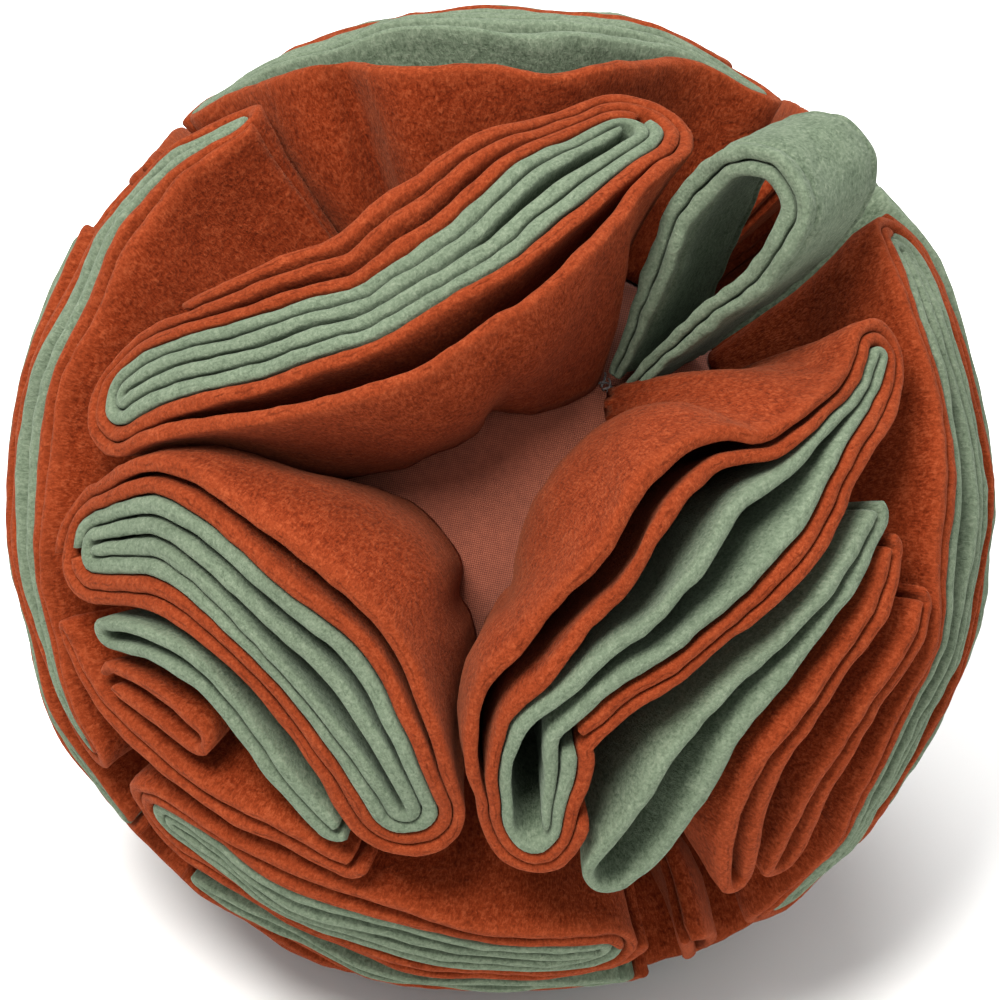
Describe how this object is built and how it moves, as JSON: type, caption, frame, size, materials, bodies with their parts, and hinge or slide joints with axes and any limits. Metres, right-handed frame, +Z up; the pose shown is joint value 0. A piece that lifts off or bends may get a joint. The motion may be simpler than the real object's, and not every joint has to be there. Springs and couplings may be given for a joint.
{
  "type": "dog snuffle ball",
  "caption": "Round fleece foraging toy: rust and sage strips wound into nests, standing on edge round a cloth-covered core, with a folded carrying loop.",
  "frame": {"origin": "on the floor, under the middle of the ball", "axes": "+Z up; the bare patch of the core looks towards -Y and up, 35 degrees above the horizon; +X is to the right of a person who looks at it"},
  "size_m": [0.1699, 0.1699, 0.1662],
  "materials": {
    "rust_fleece": "matt polar fleece with a short nap",
    "sage_fleece": "matt polar fleece with a short nap",
    "core_cloth": "fine plain-woven cloth"
  },
  "bodies": {
    "root": {"core_ball": "core_cloth", "carry_loop": "sage_fleece", "back_left_rust": "rust_fleece", "back_left_sage": "sage_fleece", "back_right_rust": "rust_fleece", "back_right_sage": "sage_fleece", "back_top_rust": "rust_fleece", "back_top_sage": "sage_fleece", "bottom_band_rust": "rust_fleece", "bottom_band_sage": "sage_fleece", "bottom_corner_rust": "rust_fleece", "bottom_outer_rust": "rust_fleece", "bottom_outer_sage": "sage_fleece", "centre_left_rust": "rust_fleece", "centre_left_sage": "sage_fleece", "centre_middle_rust": "rust_fleece", "centre_middle_sage": "sage_fleece", "centre_right_rust": "rust_fleece", "centre_right_sage": "sage_fleece", "centre_upper_rust": "rust_fleece", "centre_upper_sage": "sage_fleece", "foot_rust": "rust_fleece", "foot_sage": "sage_fleece", "front_lower_rust": "rust_fleece", "front_lower_sage": "sage_fleece", "front_right_rust": "rust_fleece", "front_right_sage": "sage_fleece", "front_upper_rust": "rust_fleece", "front_upper_sage": "sage_fleece", "left_band_rust": "rust_fleece", "left_band_sage": "sage_fleece", "left_outer_rust": "rust_fleece", "left_outer_sage": "sage_fleece", "lower_curl_rust": "rust_fleece", "lower_leaf_rust": "rust_fleece", "lower_middle_sage": "sage_fleece", "rear_left_corner_sage": "sage_fleece", "rear_left_rust": "rust_fleece", "rear_left_sage": "sage_fleece", "rear_right_corner_sage": "sage_fleece", "rear_right_rust": "rust_fleece", "rear_right_sage": "sage_fleece", "rear_upper_rust": "rust_fleece", "rear_upper_sage": "sage_fleece", "right_band_rust": "rust_fleece", "right_band_sage": "sage_fleece", "right_leaf_inner_rust": "rust_fleece", "right_leaf_outer_rust": "rust_fleece", "right_middle_sage": "sage_fleece", "right_outer_sage": "sage_fleece", "top_band_rust": "rust_fleece", "top_band_sage": "sage_fleece", "top_outer_rust": "rust_fleece", "top_outer_sage": "sage_fleece", "underside_left_rust": "rust_fleece", "underside_left_sage": "sage_fleece", "underside_right_rust": "rust_fleece", "underside_right_sage": "sage_fleece", "upper_left_corner_rust": "rust_fleece", "upper_right_corner_rust": "rust_fleece"}
  },
  "joints": []
}
